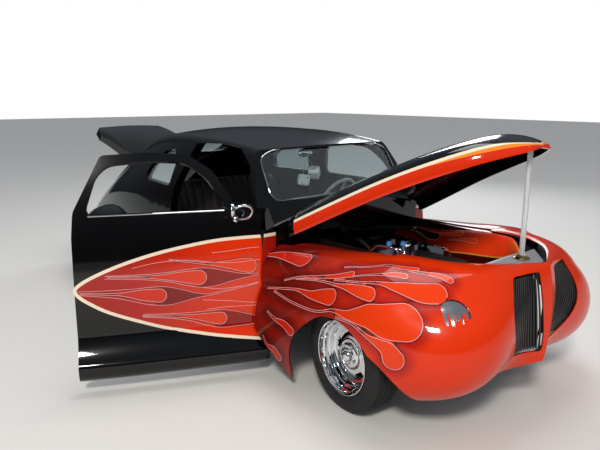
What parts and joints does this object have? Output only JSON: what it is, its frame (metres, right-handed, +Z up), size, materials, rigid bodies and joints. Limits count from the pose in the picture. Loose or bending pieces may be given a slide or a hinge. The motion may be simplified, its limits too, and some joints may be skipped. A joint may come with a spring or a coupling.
{
  "type": "hot rod coupe",
  "caption": "Chopped and lowered forties-style coupe, full size, with hood, decklid and one door standing open, wheels that steer and roll.",
  "frame": {"origin": "floor under the middle of the car's whole box, with the right door standing open; the car's own centreline lies at Y = +0.424 m and its front axle at X = +1.619 m", "axes": "+X forward along the car, +Y to its left, +Z up"},
  "size_m": [4.7293, 2.7161, 1.4913],
  "materials": {
    "body_black": "gloss",
    "body_orange": "gloss",
    "frame_black": "satin",
    "chrome": "polished",
    "steel": "satin",
    "aluminium": "brushed",
    "iron": "painted",
    "brass": "polished",
    "glass": "clear",
    "lens": "clear",
    "red_lens": "clear",
    "tyre": "matt",
    "leather": "satin",
    "plastic": "matt",
    "acrylic": "clear",
    "cover_grey": "satin"
  },
  "bodies": {
    "car": {"body_shell": "body_black", "floor_pan": "frame_black", "chassis_frame": "frame_black", "nose_panel": "body_orange", "front_fender_left": "body_orange", "front_fender_right": "body_orange", "rear_fender_left": "body_black", "rear_fender_right": "body_black", "windshield": "glass", "rear_glass": "glass", "headlamps": "lens", "headlamp_covers": "cover_grey", "grille": "plastic", "radiator_cover": "cover_grey", "radiator": "aluminium", "engine_block": "iron", "engine_top": "chrome", "engine_dress": "aluminium", "bay_aprons": "body_black", "dashboard": "body_orange", "bench_seat": "leather", "steering_column": "steel", "cabin_mirror": "chrome", "front_suspension": "steel", "rear_axle": "frame_black", "exhaust": "steel", "tail_lamps": "red_lens"},
    "knuckle_left": {"knuckle_left": "steel"},
    "knuckle_right": {"knuckle_right": "steel"},
    "front_wheel_left": {"wheel_front_left": "chrome", "tyre_front_left": "tyre"},
    "front_wheel_right": {"wheel_front_right": "chrome", "tyre_front_right": "tyre"},
    "rear_wheel_left": {"wheel_rear_left": "chrome", "tyre_rear_left": "tyre"},
    "rear_wheel_right": {"wheel_rear_right": "chrome", "tyre_rear_right": "tyre"},
    "steering_wheel": {"steering_wheel": "plastic"},
    "door_left": {"door_left": "body_black", "door_mirror_left": "chrome"},
    "door_right": {"door_right": "body_black", "door_mirror_right": "chrome"},
    "hood": {"hood": "body_black"},
    "decklid": {"decklid": "body_black"},
    "prop": {"prop_rod": "acrylic"}
  },
  "joints": [
    {"name": "steer_left", "type": "hinge", "parent": "car", "child": "knuckle_left", "pos_m": [1.619, 1.024, 0.304], "axis": [0, 0, 1], "range_deg": [-21.3, 38.7]},
    {"name": "steer_right", "type": "hinge", "parent": "car", "child": "knuckle_right", "pos_m": [1.619, -0.176, 0.304], "axis": [0, 0, 1], "range_deg": [-21.4, 38.8]},
    {"name": "spin_front_left", "type": "hinge", "parent": "knuckle_left", "child": "front_wheel_left", "pos_m": [1.619, 1.024, 0.304], "axis": [0.1513, 0.9885, 0], "continuous": true},
    {"name": "spin_front_right", "type": "hinge", "parent": "knuckle_right", "child": "front_wheel_right", "pos_m": [1.619, -0.176, 0.304], "axis": [0.1513, 0.9885, 0], "continuous": true},
    {"name": "spin_rear_left", "type": "hinge", "parent": "car", "child": "rear_wheel_left", "pos_m": [-1.231, 1.116, 0.304], "axis": [0, 1, 0], "continuous": true},
    {"name": "spin_rear_right", "type": "hinge", "parent": "car", "child": "rear_wheel_right", "pos_m": [-1.231, -0.268, 0.304], "axis": [0, 1, 0], "continuous": true},
    {"name": "steering_turn", "type": "hinge", "parent": "car", "child": "steering_wheel", "pos_m": [0.489, 0.774, 0.88], "axis": [-0.8992, 0, 0.4375], "range_deg": [-465.4, 256.6]},
    {"name": "door_left_hinge", "type": "hinge", "parent": "car", "child": "door_left", "pos_m": [0.919, 1.214, 0.6], "axis": [0, 0, -1], "range_deg": [0, 66]},
    {"name": "door_right_hinge", "type": "hinge", "parent": "car", "child": "door_right", "pos_m": [0.919, -0.366, 0.6], "axis": [0, 0, 1], "range_deg": [-63.4, 2.6]},
    {"name": "hood_hinge", "type": "hinge", "parent": "car", "child": "hood", "pos_m": [0.879, 0.424, 0.93], "axis": [0, -1, 0], "range_deg": [-22.5, 0]},
    {"name": "decklid_hinge", "type": "hinge", "parent": "car", "child": "decklid", "pos_m": [-1.461, 0.424, 1.09], "axis": [0, 1, 0], "range_deg": [-48, 4]},
    {"name": "prop_slide", "type": "slide", "parent": "car", "child": "prop", "axis": [0, 0, -1], "range_m": [-0.001, 0.5115]}
  ],
  "couplings": [
    {"joint": "steer_right", "follows": "steer_left", "ratio": 1},
    {"joint": "steering_turn", "follows": "steer_left", "ratio": -12},
    {"joint": "prop_slide", "follows": "hood_hinge", "m_per_rad": -1.3}
  ]
}
